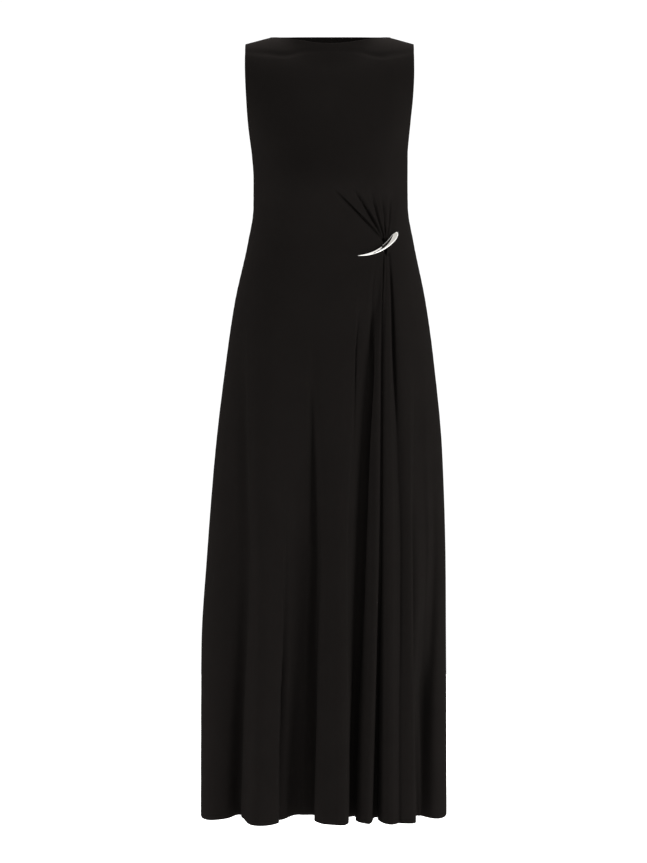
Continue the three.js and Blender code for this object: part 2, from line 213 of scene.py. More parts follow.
# The lines that folds follow, from the wearer's right to the left: where a line runs at each
# station, and how far it lies behind the outline there
STATION_Z = {"neck": YOKE_Z, "bust": -268, "fan": -308, "waist": GATHER_Z, "hip": -610, "knee": -1000,
             "hem": HEM_Z}
Line = namedtuple("Line", "name neck bust fan waist hip knee hem fan_in waist_in hip_in knee_in hem_in")
FRONT_LINES = [
    Line("side_crest_right", -150, -138, -138, -150, -186, -214, -239, 0, 0, 0, 0, 0),
    Line("trough_1", -134, -122, -122, -134, -163, -162, -184, 0, 0, 4, 24, 66),
    Line("ridge_1_start", -114, -104, -104, -114, -142, -140, -161, 0, 0, 0, -2, -7),
    Line("ridge_1_end", -101, -82, -80, -86, -108, -103, -101, 0, 0, 0, 0, -7),
    Line("ridge_1_foot", -90, -68, -66, -70, -92, -84, -88, 0, 0, 2, 14, 44),
    Line("trough_2", -78, -52, -46, -38, -36, -34, -52, 0, 0, 4, 38, 76),
    Line("ridge_2_start", -66, -34, -24, -6, -6, -4, -17, 0, 0, 0, -3, -6),
    Line("ridge_2_end", -46, -12, 8, 76, 45.5, 38, 37.5, 0, 0, 0, -2, -4),
    Line("trough_3", -26, 6, 31, 97, 73, 58, 41, 4, 0.8, 18, 43, 52),
    Line("ridge_3_rise", -6, 24, 46, 99.2, 80, 66, 50, -1, 0, 9, 15, 17),
    Line("ridge_3_pleat", 14, 42, 57, 101.4, 86, 79, 67, 4, 0.8, 3, 6, 9),
    Line("ridge_3_crest", 34, 57, 71, 103.6, 92.5, 90.5, 81, -1, 0, -1, 0, 0),
    Line("trough_4", 52, 74, 87, 105.6, 98.5, 96, 89.5, 4, 0.8, 6, 18, 60),
    Line("ridge_4_start", 66, 85, 93.5, 107.4, 103.5, 103, 98, -1, 0, 0, 2, 15),
    Line("ridge_4_pleat", 78, 94, 100, 109.2, 108, 114, 111, 3, 0.8, 0, 0, 2),
    Line("ridge_4_end", 88, 104, 109, 111, 114, 122, 123, -1, 0, -1, 0, 1),
    Line("trough_5", 97, 113, 118, 113, 120, 133, 134, 4, 0.8, 7, 10, 13),
    Line("ridge_5_crest", 106, 122, 126, 119, 131, 152, 170, 0, 0, -1, -4, -2),
    Line("ridge_5_foot", 114, 128, 131, 127, 150, 172, 183, 0, 0, 1, -2, 40),
    Line("trough_6", 128, 134, 137, 138, 168, 193, 197, 0, 0, 2, 26, 46),
    Line("side_crest_left", 145, 141, 142, 150, 184, 212, 217, 0, 0, 0, 0, 0),
]
BACK_LINES = [
    Line("side_crest_right", -150, -137, -137, -148, -184, -213, -238, 0, 0, 0, 0, 0),
    Line("trough_1", -133, -124, -124, -135, -166, -188, -207, 0, 0, 2, 14, 40),
    Line("ridge_1", -114, -106, -106, -117, -146, -162, -176, 0, 0, 0, 0, -3),
    Line("trough_2", -92, -84, -84, -92, -114, -123, -131, 0, 2, 4, 22, 50),
    Line("ridge_2", -68, -60, -60, -66, -82, -88, -97, 0, 0, 0, 0, 0),
    Line("trough_3", -42, -38, -38, -40, -49, -51, -53, 0, 1, 2, 13, 38),
    Line("ridge_3", -14, -12, -12, -12, -14, -13, -12, 0, 0, 0, -1, -4),
    Line("trough_4", 16, 16, 16, 18, 22, 27, 33, 0, 1, 4, 24, 54),
    Line("ridge_4", 42, 40, 40, 44, 54, 61, 68, 0, 0, 0, 0, -2),
    Line("trough_5", 66, 64, 64, 70, 86, 95, 101, 0, 2, 3, 14, 42),
    Line("ridge_5", 92, 88, 88, 96, 118, 130, 136, 0, 0, 0, 0, 0),
    Line("trough_6", 114, 110, 110, 120, 148, 165, 172, 0, 0, 3, 18, 46),
    Line("side_crest_left", 140, 133, 133, 144, 177, 202, 211, 0, 0, 0, 0, 0),
]

# Creases of the skirt: where each runs at the heights of CREASE_Z, how deep it is there, and how
# far it reaches to either side (-X and +X). A negative depth is a soft swell.
CREASE_Z = (-400, -490, -590, -770, -960, -1140, -1260, -1490)
Crease = namedtuple("Crease", "x depth minus plus")
FRONT_CREASES = [
    Crease((-163, -163, -162, -160, -156, -162, -169, -178), (0, 0, 1, 5, 5, 9, 12, 14), 12, 3),
    Crease((-96, -96, -92, -88, -85, -87, -91, -95), (0, 0, 0, 0, 1, 7, 17, 12), 1.3, 6),
    Crease((-34, -34, -34, -31, -29, -35, -38, -44), (0, 0, 1, 8, 12, 16, 18, 20), 6, 8),
    Crease((62, 56, 49.5, 44, 37, 37, 39, 40), (0, 1, 4, 3.5, 8, 7, 3, 2), 1.5, 12),
    Crease((62, 53, 49.8, 47, 43, 42, 42, 42), (0, 1, 2.8, 0.5, 0, 0, 0, 0), 1.4, 1.4),
    Crease((88, 79, 79, 70.5, 64, 57, 50, 43), (0, 2, 8, 14, 14, 12, 13, 13), 3.6, 2.4),
    Crease((100, 98.5, 97, 96.5, 96, 92.5, 90.5, 89), (1, 4.5, 3.2, 3.2, 3.5, 9, 11, 12), 1.3, 1.4),
    Crease((110, 116, 119.5, 126, 133, 133, 132, 133), (2.5, 4.2, 6, 0.3, 1, 2, 2, 3), 2, 2.2),
    Crease((150, 156, 158, 160, 161, 162, 166, 172), (0, 0, 0, 4, 10, 8, 6, 3), 4, 17),
    Crease((150, 165, 175, 181, 185, 182, 182, 190), (0, 0, 0, -3, -8, -2, 0, 0), 13, 10),
    Crease((150, 165, 178, 193, 202, 196, 190, 188), (0, 0, 0, 1, 6, 7, 5, 2), 12, 10),
    Crease((150, 165, 170, 178, 182, 182, 178, 176), (0, 0, 0, 0, 0, 2, 7, 2), 1.8, 10),
]
BACK_CREASES = [
    Crease((-150, -155, -162, -176, -187, -197, -202, -206), (0, 0, 0, 1.5, 3, 5, 6, 8), 5, 9),
    Crease((-94, -100, -110, -118, -123, -127, -129, -131), (0, 0, 0.5, 4, 6, 8, 9, 11), 5, 10),
    Crease((-40, -44, -48, -50, -51, -52, -52, -53), (0, 0, 0, 1, 3, 5, 6, 7), 8, 4),
    Crease((18, 19, 21, 24, 27, 30, 31, 33), (0, 0, 1, 5, 7, 8, 10, 12), 4.5, 10),
    Crease((70, 76, 84, 90, 95, 98, 99, 101), (0, 0, 0, 2, 4, 5, 6, 8), 9, 4),
    Crease((122, 132, 145, 157, 165, 169, 170, 172), (0, 0, 0.5, 3, 5, 6, 8, 9), 5, 9),
]

# Creases that run up from the ornament: where each fades out, a place that it passes, its depth
# and its reach to either side
GATHER_X = 104
GATHER_FULL_Z = -325  # where they are deepest
GATHER_SHALLOW = 0.5  # their depth at the ornament, as a share of the deepest
GATHER_SHALLOW_ABOVE = 10  # how far above the gather that holds
GATHER_ENDS_BELOW = (26, 6)  # they end under the ornament, between these depths below the gather
GatherCrease = namedtuple("GatherCrease", "top_x top_z pass_x pass_z depth reach")
GATHER_CREASES = [
    GatherCrease(-2, -276, 63, -341, 8.5, 1.8),
    GatherCrease(36, -272, 79, -341, 9.5, 1.6),
    GatherCrease(74, -284, 91, -341, 8.5, 1.4),
    GatherCrease(93, -288, 102, -341, 5.5, 1.3),
    GatherCrease(114, -290, 112, -341, 4.5, 1.4),
]

# The soft crease below the neckline, where the front turns down from the shoulders
NECK_CREASE_ABOVE = 5  # how far it reaches up
NECK_CREASE_BELOW = 3.5  # and down
NECK_CREASE_FROM = 14  # how far below the top edge it is full
NeckCrease = namedtuple("NeckCrease", "x z depth")
NECK_CREASE = [
    NeckCrease(-152, -30, 0.6),
    NeckCrease(-116, -34, 1.6),
    NeckCrease(-84, -37, 1.7),
    NeckCrease(-50, -31, 0.8),
    NeckCrease(0, -29, 0.3),
    NeckCrease(50, -31, 0.7),
    NeckCrease(93, -39, 1.8),
    NeckCrease(116, -36, 1.4),
    NeckCrease(152, -30, 0.6),
]


def monotone(zs, values):
    """A smooth curve through (z, value) pairs that never swings past them."""
    order = np.argsort(zs)
    x = np.array(zs, float)[order]
    y = np.array(values, float)[order]
    span = np.diff(x)
    slope = np.diff(y) / span
    product = slope[:-1] * slope[1:]
    total = slope[:-1] + slope[1:]
    inner = np.where(product > 0, 2 * product / np.where(product > 0, total, 1), 0)
    tangent = np.concatenate([slope[:1], inner, slope[-1:]])

    def curve(z):
        z = np.clip(z, x[0], x[-1])
        i = np.clip(np.searchsorted(x, z, side="right") - 1, 0, len(span) - 1)
        t = (z - x[i]) / span[i]
        return ((2 * t**3 - 3 * t**2 + 1) * y[i] + (t**3 - 2 * t**2 + t) * span[i] * tangent[i]
                + (3 * t**2 - 2 * t**3) * y[i + 1] + (t**3 - t**2) * span[i] * tangent[i + 1])

    return curve


def smoothstep(low, high, x):
    t = np.clip((x - low) / (high - low), 0, 1)
    return t * t * (3 - 2 * t)


REACH = {key: monotone([row.z for row in LEVELS], [getattr(row, key) for row in LEVELS])
         for key in ("left", "right", "front", "back", "square")}


def spline_weights(u, count):
    """Weights of a cubic B-spline through count control values, which keeps both end values."""
    weights = np.zeros((len(u), count))
    i = np.minimum(count - 2, np.floor(u).astype(int))
    t = u - i
    shares = [(1 - t)**3, 3 * t**3 - 6 * t**2 + 4, -3 * t**3 + 3 * t**2 + 3 * t + 1, t**3]
    rows = np.arange(len(u))
    for k, share in enumerate(shares):
        at = i - 1 + k
        before = at < 0
        after = at > count - 1
        inside = ~(before | after)
        np.add.at(weights, (rows[inside], at[inside]), share[inside] / 6)
        for rows_out, end, next_in in ((rows[before], 0, 1), (rows[after], count - 1, count - 2)):
            np.add.at(weights, (rows_out, end), 2 * share[rows_out] / 6)
            np.add.at(weights, (rows_out, next_in), -share[rows_out] / 6)
    return weights


class ClothHalf:
    """The front (facing -1) or the back (facing 1) of the dress, as a smooth surface."""

    def __init__(self, lines, facing, depth_key, arm_reach):
        self.facing = facing
        self.depth_key = depth_key
        self.arm_reach = arm_reach
        self.lanes = len(lines) + 1
        station_z = list(STATION_Z.values())
        self.tracks = [monotone(station_z, [getattr(row, at) for at in STATION_Z]) for row in lines]
        inset_z = [YOKE_Z, STATION_Z["bust"]] + station_z[2:]
        self.insets = [monotone(inset_z, [0, 0] + [getattr(row, at + "_in") for at in list(STATION_Z)[2:]])
                       for row in lines]

    def edge_depth(self, z):
        """How far forward of the side line the armhole's edge lies."""
        share = (z + SHOULDER_DROP) / (UNDERARM_Z + SHOULDER_DROP)
        return self.arm_reach * np.maximum(0, 1 - (2 * share - 1)**2)**ARMHOLE_ROUNDNESS

    def ring_sizes(self, z):
        """The ring at each height: it runs on under the arm, beyond the armhole's edge."""
        square = REACH["square"](z)
        depth = REACH[self.depth_key](z)
        cut = self.edge_depth(z) / depth
        widening = (1 - cut**square)**(-1 / square)
        edge_angle = np.arccos(cut**(square / 2))
        return square, depth, REACH["left"](z) * widening, REACH["right"](z) * widening, edge_angle

    def angle_of(self, x, z):
        square, _, left, right, _ = self.ring_sizes(z)
        share = x / np.where(x < 0, left, right)
        return np.sign(share) * np.arcsin(np.minimum(1, np.abs(share))**(square / 2))

    def ring(self, angle, z):
        """Points of the ring and the way out of them."""
        square, depth, left, right, _ = self.ring_sizes(z)
        side = np.where(angle < 0, left, right)
        across = np.sign(angle) * np.abs(np.sin(angle))**(2 / square)
        ahead = np.maximum(0, np.cos(angle))**(2 / square)
        out_x = np.sign(across) * np.abs(across)**(square - 1) / side
        out_y = self.facing * ahead**(square - 1) / depth
        out = np.stack([out_x, out_y, 0 * out_x], axis=-1)
        out /= np.linalg.norm(out, axis=-1, keepdims=True)
        point = np.stack([side * across, self.facing * depth * ahead, z + 0 * across], axis=-1)
        return point, out

    def outline(self, x, z):
        return self.ring(self.angle_of(x, z), z)

    def body(self, u, z):
        """Points of the cloth at heights z. u counts the fold lines from seam to seam."""
        weights = spline_weights(u, self.lanes + 1)
        edge = self.ring_sizes(z)[4]
        angles = np.stack([-edge] + [self.angle_of(t(z), z) for t in self.tracks] + [edge], axis=1)
        zero = 0 * z
        insets = np.stack([zero] + [inset(z) for inset in self.insets] + [zero], axis=1)
        heights = np.repeat(z[:, None], len(u), axis=1)
        point, out = self.ring(angles @ weights.T, heights)
        point -= out * (insets @ weights.T)[..., None]
        left = point[..., 0] < 0
        side = np.where(left, REACH["left"](heights), REACH["right"](heights))
        drop = np.where(left, HEM_DROP_RIGHT, HEM_DROP_LEFT)
        lowering = smoothstep(-HEM_DROP_FROM, -HEM_Z, -heights)
        point[..., 2] -= drop * lowering * np.minimum(1, np.abs(point[..., 0]) / side)**HEM_DROP_POWER
        return point

    def top_edge(self, x):
        """The neckline between the two neck points, and a shoulder seam on each side."""
        yoke = np.array([YOKE_Z])
        tip = np.where(x < 0, REACH["left"](yoke), REACH["right"](yoke)) - NECK_X
        beyond = np.abs(x) - NECK_X
        inward = 1 - np.minimum(1, np.abs(x) / NECK_X)**NECK_ROUNDNESS
        if self.facing > 0:
            y = NECK_BACK_REACH * inward
            z = NECK_BACK_RISE * inward
        else:
            y = -NECK_FRONT_REACH * inward
            z = -NECK_FRONT_DROP * np.maximum(0, 1 - (x / NECK_X)**2)**2
        z = np.where(beyond > 0, -SHOULDER_DROP * beyond / tip, z)
        return np.stack([x, y, z], axis=-1)

    def yoke(self, u, share):
        """Points between the top edge (share 0) and the yoke line (share 1)."""
        low = self.body(u, np.array([float(YOKE_Z)]))[0]
        lower = self.body(u, np.array([YOKE_Z - 1.0]))[0]
        high = self.top_edge(low[:, 0])
        gap = low - high
        reach_out = np.hypot(gap[:, 1], gap[:, 2])[:, None]
        middle = 1 - smoothstep(NECK_X - YOKE_TILT_INSIDE, NECK_X + YOKE_TILT_OUTSIDE, np.abs(low[:, 0]))
        tilt = np.radians(YOKE_TILT_SHOULDER + (YOKE_TILT_MIDDLE - YOKE_TILT_SHOULDER) * middle)
        leave = np.stack([0 * tilt, self.facing * np.cos(tilt), -np.sin(tilt)], axis=-1) * reach_out
        below = (lower - low) * reach_out
        t = share[:, None, None]
        return (high * (2 * t**3 - 3 * t**2 + 1) + leave * (t**3 - 2 * t**2 + t)
                + low * (3 * t**2 - 2 * t**3) + below * (t**3 - t**2))


def row_heights(spacing):
    """Heights of the rows below the yoke, closest at the underarm, the gather and the hem."""
    quarter_turn = np.pi / 2 * np.arange(ARM_ROWS + 1) / ARM_ROWS
    heights = list(YOKE_Z + (UNDERARM_Z - YOKE_Z) * np.sin(quarter_turn))
    steps = []
    z = UNDERARM_Z
    while z > HEM_Z:
        from_gather = spacing.at_gather + spacing.widening * abs(z - GATHER_Z)
        from_hem = spacing.at_hem + spacing.widening * abs(z - HEM_Z)
        steps.append(min(spacing.widest, from_gather, from_hem))
        z -= steps[-1]
    fit = (UNDERARM_Z - HEM_Z) / (UNDERARM_Z - z)
    return np.concatenate([heights, UNDERARM_Z - fit * np.cumsum(steps)])


def column_places(half, creases, columns):
    """Where the columns lie, counted in fold lines: closest where an edge or a crease runs."""
    u = np.linspace(0, half.lanes, FINE_STEPS * half.lanes + 1)
    knee = np.array([float(STATION_Z["knee"])])
    ring = half.body(u, knee)
    along = run_length(ring, 1)[0]
    x = ring[0, :, 0]
    from_seam = from_both_ends(along, 0)
    spacing = np.minimum(columns.widest, columns.at_crease + columns.growth * from_seam * 2)
    spacing = np.minimum(spacing, EDGE_COLUMN + EDGE_GROWTH * from_seam)
    for crease in creases:
        crease_x = monotone(CREASE_Z, crease.x)(knee)
        spacing = np.minimum(spacing, columns.at_crease + columns.growth * np.abs(x - crease_x))
    count = np.concatenate([[0], np.cumsum(np.diff(along) / ((spacing[1:] + spacing[:-1]) / 2))])
    total = int(round(count[-1]))
    return np.interp(np.linspace(0, count[-1], total + 1), count, u)


def groove(distance, minus, plus):
    """A smooth groove of depth 1 that reaches minus to the -X side and plus to the +X side."""
    return np.exp(-(distance / np.where(distance < 0, minus, plus))**2)


def skirt_creases(creases, x, z):
    total = 0 * x
    for crease in creases:
        depth = np.where(z > CREASE_Z[0], 0, monotone(CREASE_Z, crease.depth)(z))
        total += depth * groove(x - monotone(CREASE_Z, crease.x)(z), crease.minus, crease.plus)
    return total


def gather_creases(x, z):
    """Grooves that fan out above the ornament, deepest close to it."""
    total = 0 * x
    for crease in GATHER_CREASES:
        heights = (GATHER_Z, crease.pass_z, crease.top_z)
        path = monotone(heights, (GATHER_X, crease.pass_x, crease.top_x))(z)
        lean = abs(crease.top_x - GATHER_X) / (crease.top_z - GATHER_Z)
        reach = crease.reach * math.hypot(1, lean)
        depth = crease.depth * (1 - smoothstep(GATHER_FULL_Z, crease.top_z, z))
        rise = smoothstep(GATHER_Z + GATHER_SHALLOW_ABOVE, GATHER_FULL_Z, z)
        depth = depth * (GATHER_SHALLOW + (1 - GATHER_SHALLOW) * rise)
        depth = depth * smoothstep(GATHER_Z - GATHER_ENDS_BELOW[0], GATHER_Z - GATHER_ENDS_BELOW[1], z)
        total += depth * groove(x - path, reach, reach)
    return total


def neck_crease(x, z):
    places = [row.x for row in NECK_CREASE]
    line = monotone(places, [row.z for row in NECK_CREASE])(x)
    depth = monotone(places, [row.depth for row in NECK_CREASE])(x)
    return depth * groove(line - z, NECK_CREASE_ABOVE, NECK_CREASE_BELOW)


def grid_normals(points, facing):
    across = np.gradient(points, axis=1)
    down = np.gradient(points, axis=0)
    normal = np.cross(across, down) * facing
    return normal / np.linalg.norm(normal, axis=-1, keepdims=True)


def run_length(points, axis):
    """Distance along the grid from its start, along rows (axis 1) or columns (axis 0)."""
    steps = np.linalg.norm(np.diff(points, axis=axis), axis=-1)
    zero = np.zeros_like(np.take(steps, [0], axis=axis))
    return np.concatenate([zero, np.cumsum(steps, axis=axis)], axis=axis)


def from_both_ends(length, axis):
    total = np.take(length, [-1], axis=axis)
    return np.minimum(length, total - length)


def unevenness(points, seed, waves):
    """A soft uneven relief, made of waves that run at mixed angles."""
    rng = np.random.default_rng(seed)
    total = np.zeros(points.shape[:2])
    for _ in range(waves.count):
        wavelength = waves.longest * rng.uniform(SHORTEST_SHARE, 1)
        angle = rng.uniform(0, math.tau)
        phase = rng.uniform(0, math.tau)
        along = points[..., 0] * math.cos(angle) + points[..., 1] * math.cos(angle) * WAVES_DEEP
        upward = points[..., 2] * math.sin(angle) / waves.stretch
        total += np.sin((along + upward) * math.tau / wavelength + phase)
    return waves.height * total / waves.count


def cloth_surface(half, creases, seed):
    """The outer grid of a panel, its normals, its turned edges (1 on them) and its flat places."""
    columns = column_places(half, creases, CLOTH_COLUMNS)
    even_shares = np.linspace(YOKE_SHARE_FROM, 1, YOKE_ROWS + 1)[:-1]
    shares = np.concatenate([YOKE_TOP_SHARES, even_shares])
    rows = row_heights(CLOTH_ROWS)
    points = np.concatenate([half.yoke(columns, shares), half.body(columns, rows)])
    seam_rows = np.concatenate([np.zeros(len(shares)), rows <= UNDERARM_Z + 0.01])[:, None] > 0
    shoulder = np.abs(points[0, :, 0]) >= NECK_X
    points[0, shoulder, 1] = 0
    points[:, [0, -1], 1] = np.where(seam_rows, 0, points[:, [0, -1], 1])
    across = run_length(points, 1)
    down = run_length(points, 0)
    side = from_both_ends(across, 1)
    above_hem = down[-1:] - down
    normals = grid_normals(points, half.facing)
    seam_dip = np.where(seam_rows, np.exp(-side / SEAM_REACH), 0)
    seam_dip = np.maximum(seam_dip, np.where(shoulder[None, :], np.exp(-down / SEAM_REACH), 0))
    sway = PUCKER_SWAY * np.sin(down / PUCKER_SWAY_STEP)
    pucker = PUCKER * np.sin(down / PUCKER_STEP + sway) * np.exp(-side / PUCKER_REACH) * seam_rows
    relief = unevenness(points, seed, LARGE_WAVES) + unevenness(points, seed + 1, SMALL_WAVES)
    relief *= smoothstep(0, EVEN_AT_SIDE, side) * smoothstep(0, EVEN_AT_TOP, down)
    relief -= skirt_creases(creases, points[..., 0], points[..., 2])
    if half.facing < 0:
        relief -= gather_creases(points[..., 0], points[..., 2])
        relief -= neck_crease(points[..., 0], points[..., 2]) * smoothstep(0, NECK_CREASE_FROM, down)
    points = points + normals * (relief + pucker - SEAM_DIP * seam_dip)[..., None]
    top_turn = 1 - smoothstep(NECK_TURN - TURN_FADE, NECK_TURN, down)
    hem_turn = 1 - smoothstep(HEM_TURN - TURN_FADE, HEM_TURN, above_hem)
    arm_turn = np.where(seam_rows, 0, 1 - smoothstep(NECK_TURN - TURN_FADE, NECK_TURN, side))
    turn = np.maximum(np.maximum(top_turn, hem_turn), arm_turn)
    return points, grid_normals(points, half.facing), turn, across, down


def grid_rim(rows, columns):
    """Row and column of each point round the edge of a grid, in order."""
    rim = [(0, j) for j in range(columns - 1)]
    rim += [(i, columns - 1) for i in range(rows - 1)]
    rim += [(rows - 1, j) for j in range(columns - 1, 0, -1)]
    rim += [(i, 0) for i in range(rows - 1, 0, -1)]
    return np.array(rim)


def grid_faces(rows, columns):
    """The four corners of each cell of a grid."""
    corner = (np.arange(rows - 1)[:, None] * columns + np.arange(columns - 1)).ravel()
    return np.stack([corner, corner + columns, corner + columns + 1, corner + 1], axis=1)


def new_mesh(name, vertices, faces):
    mesh = bpy.data.meshes.new(name)
    mesh.from_pydata((vertices * MM).tolist(), [], faces.tolist())
    mesh.shade_smooth()
    mesh.update()
    return mesh


def new_piece(name, mesh):
    piece = bpy.data.objects.new(name, mesh)
    bpy.context.scene.collection.objects.link(piece)
    return piece


def wall_mesh(name, half, surface):
    """A closed wall of cloth: outer face, inner face and a rounded edge between them."""
    points, normals, turn, across, down = surface
    rows, columns = points.shape[:2]
    inner = points - normals * (CLOTH + TURNED * turn)[..., None]
    count = rows * columns
    at = grid_rim(rows, columns)
    middle = (points[at[:, 0], at[:, 1]] + inner[at[:, 0], at[:, 1]]) / 2
    inward = np.clip(at, 1, [rows - 2, columns - 2])
    out = points[at[:, 0], at[:, 1]] - points[inward[:, 0], inward[:, 1]]
    out /= np.linalg.norm(out, axis=1, keepdims=True)
    edge_normal = normals[at[:, 0], at[:, 1]]
    out -= edge_normal * (out * edge_normal).sum(axis=1, keepdims=True)
    on_seam = np.abs(points[at[:, 0], at[:, 1], 1]) < SEAM_DIP + 0.1
    middle += out * np.where(on_seam, 0, EDGE_ROUND * CLOTH)[:, None]
    outer_faces = grid_faces(rows, columns)
    if half.facing > 0:
        outer_faces = outer_faces[:, ::-1]
    inner_faces = outer_faces[:, ::-1] + count
    start = at[:, 0] * columns + at[:, 1]
    end = np.roll(start, -1)
    ring = 2 * count + np.arange(len(at))
    ring_end = np.roll(ring, -1)
    rim_faces = np.concatenate([np.stack([start, end, ring_end, ring], axis=1),
                                np.stack([ring, ring_end, end + count, start + count], axis=1)])
    if half.facing > 0:
        rim_faces = rim_faces[:, ::-1]
    mesh = new_mesh(name, np.concatenate([points.reshape(-1, 3), inner.reshape(-1, 3), middle]),
                    np.concatenate([outer_faces, inner_faces, rim_faces]))
    flat = np.stack([across, down, 0 * across], axis=-1).reshape(-1, 3)
    coordinates = np.concatenate([flat, flat, flat[start]]) * MM
    layer = mesh.attributes.new("cloth", "FLOAT_VECTOR", "POINT")
    layer.data.foreach_set("vector", coordinates.ravel())
    return new_piece(name, mesh)


def leaf_edge(t):
    """Where the broad leaf's inner edge runs: the horn is two long leaves that overlap."""
    return np.interp(t, [row.t for row in LEAF_EDGE], [row.s for row in LEAF_EDGE])


def horn_slot(t, s):
    """1 in the dark slot between the broad leaf and the thin rim, 0 elsewhere."""
    beside = smoothstep(0, SLOT_FADE, s - leaf_edge(t)) * (1 - smoothstep(RIM_S - RIM_FADE, RIM_S, s))
    return beside * smoothstep(LEAF_END_T - ALONG_FADE, LEAF_END_T + ALONG_FADE, t)


def horn_rim(t, s):
    """1 on the thin rim beside the slot."""
    along = smoothstep(LEAF_END_T, LEAF_END_T + 2 * ALONG_FADE, t) * (1 - smoothstep(*RIM_END, t))
    return smoothstep(RIM_S - RIM_FADE, RIM_S, s) * along


def horn_line(t, s):
    """1 in the fine broken line between the leaves and where the slim leaf ends."""
    line = np.exp(-((s - leaf_edge(t)) / LINE_WIDTH)**2)
    line = line * smoothstep(*LINE_FROM, t)
    line = line * (1 - smoothstep(LEAF_END_T, LEAF_END_T + ALONG_FADE, t))
    broken = LINE_BRIGHT + LINE_WAVE * np.sin(t * LINE_WAVES)
    end = np.exp(-((t - LEAF_END_T - LEAF_END_SLANT * s) / LEAF_END_WIDTH)**2)
    return np.maximum(line * broken, end * smoothstep(*LEAF_END_SIDE, s))


def horn_relief(t, s):
    """Height of the horn's face along it (t, 0 to 1) and across it (s, -1 outer to 1 inner edge)."""
    dome = np.maximum(0, 1 - np.abs(s)**DOME_SQUARE)**DOME_FULL
    rim = horn_rim(t, s) * (1 - smoothstep(*RIM_EDGE, s))
    dome = np.maximum(dome, RIM_HEIGHT * rim)
    relief = dome * (1 - SLOT_DEPTH * horn_slot(t, s)) - FIELD_DEPTH * horn_field(t, s)
    return np.maximum(DOME_LEAST * dome, relief - LINE_DEPTH * horn_line(t, s) * dome)


def horn_field(t, s):
    """1 on the grained face of the broad leaf, 0 on its polished border and the slim leaf."""
    across = smoothstep(*FIELD_OUTER, s) * (1 - smoothstep(*FIELD_INNER, s - leaf_edge(t)))
    return across * smoothstep(*FIELD_START, t) * (1 - smoothstep(*FIELD_END, t))


def horn_piece(half):
    """The curved horn, laid on the gathered cloth with its pointed end towards the middle."""
    t = 1 - (1 - np.linspace(0, 1, HORN_SLICES + 1))**HORN_SLICE_POWER
    middle = (t[1:] + t[:-1]) / 2

    def angle(share):
        return np.radians(HORN_START_ANGLE + HORN_TURN * share**HORN_TURN_POWER)

    steps = np.diff(t) * HORN_LENGTH
    x = HORN_TIP_X + np.concatenate([[0], np.cumsum(np.cos(angle(middle)) * steps)])
    z = HORN_TIP_Z + np.concatenate([[0], np.cumsum(np.sin(angle(middle)) * steps)])
    past = np.maximum(0, (t - HORN_ROUND_T) / (1 - HORN_ROUND_T))
    taper = np.maximum(t, HORN_TIP_T)**HORN_TAPER_POWER
    width = HORN_WIDTH * taper * np.sqrt(np.maximum(HORN_END_SHARE, 1 - past**2))
    slim = width / HORN_WIDTH
    height = HORN_HEIGHT * np.minimum(1, HORN_LOW + slim) * slim**HORN_LOW_POWER
    s = -np.cos(np.linspace(0, np.pi, HORN_ACROSS + 1))
    grid_t, grid_s = np.meshgrid(t, s, indexing="ij")
    px = x[:, None] - np.sin(angle(t))[:, None] * grid_s * width[:, None] / 2
    pz = z[:, None] + np.cos(angle(t))[:, None] * grid_s * width[:, None] / 2
    base, out = half.outline(px.ravel(), pz.ravel())
    base = (base + out * HORN_STANDOFF).reshape(*px.shape, 3)
    top = base.copy()
    top[..., 1] -= HORN_EDGE * slim[:, None] + height[:, None] * horn_relief(grid_t, grid_s)
    rows, columns = px.shape
    count = px.size
    top_faces = grid_faces(rows, columns)
    rim = grid_rim(rows, columns)
    start = rim[:, 0] * columns + rim[:, 1]
    end = np.roll(start, -1)
    rim_faces = np.stack([start, end, end + count, start + count], axis=1)
    mesh = new_mesh("horn", np.concatenate([top.reshape(-1, 3), base.reshape(-1, 3)]),
                    np.concatenate([top_faces, top_faces[:, ::-1] + count, rim_faces]))
    # painted shade: the slot, the line and a share of the rim are darkened in the colour, besides being
    # sunk
    shade = np.clip(horn_slot(grid_t, grid_s) + horn_line(grid_t, grid_s)
                    + RIM_SHADE * horn_rim(grid_t, grid_s), 0, 1)
    for key, values in (("grain", horn_field(grid_t, grid_s)), ("shade", shade)):
        layer = mesh.attributes.new(key, "FLOAT", "POINT")
        layer.data.foreach_set("value", np.concatenate([values.ravel(), np.zeros(count)]))
    return new_piece("horn", mesh)


class Nodes:
    """Short calls for building a material's node tree."""

    def __init__(self, name):
        self.material = bpy.data.materials.new(name)
        self.material.use_nodes = True
        self.tree = self.material.node_tree
        self.shader = self.tree.nodes["Principled BSDF"]

    def add(self, kind, inputs=None, **settings):
        node = self.tree.nodes.new(kind)
        for key, value in settings.items():
            setattr(node, key, value)
        for key, value in (inputs or {}).items():
            if isinstance(value, bpy.types.NodeSocket):
                self.tree.links.new(value, node.inputs[key])
            else:
                node.inputs[key].default_value = value
        return node

    def math(self, operation, a, b=0.0):
        return self.add("ShaderNodeMath", {0: a, 1: b}, operation=operation).outputs[0]

    def mix(self, factor, colour_a, colour_b):
        node = self.add("ShaderNodeMix", data_type="RGBA")
        for name, value in (("Factor_Float", factor), ("A_Color", colour_a), ("B_Color", colour_b)):
            socket = next(s for s in node.inputs if s.identifier == name)
            if isinstance(value, bpy.types.NodeSocket):
                self.tree.links.new(value, socket)
            else:
                socket.default_value = (*value, 1) if len(value) == 3 else value
        return next(s for s in node.outputs if s.identifier == "Result_Color")

    def link(self, output, key):
        self.tree.links.new(output, self.shader.inputs[key])


ROOM_WHITE = 1.06  # what the camera and the metal see
ROOM_FILL = 0.28  # what lights the cloth
STAGE_GLOW = 0.6
STAGE_HALF_WIDTH = 9.0
FLOOR_FRONT = -6.0
FLOOR_BACK = 2.2
SWEEP_RADIUS = 1.6
SWEEP_TOP = 6.0
SWEEP_STEPS = 12

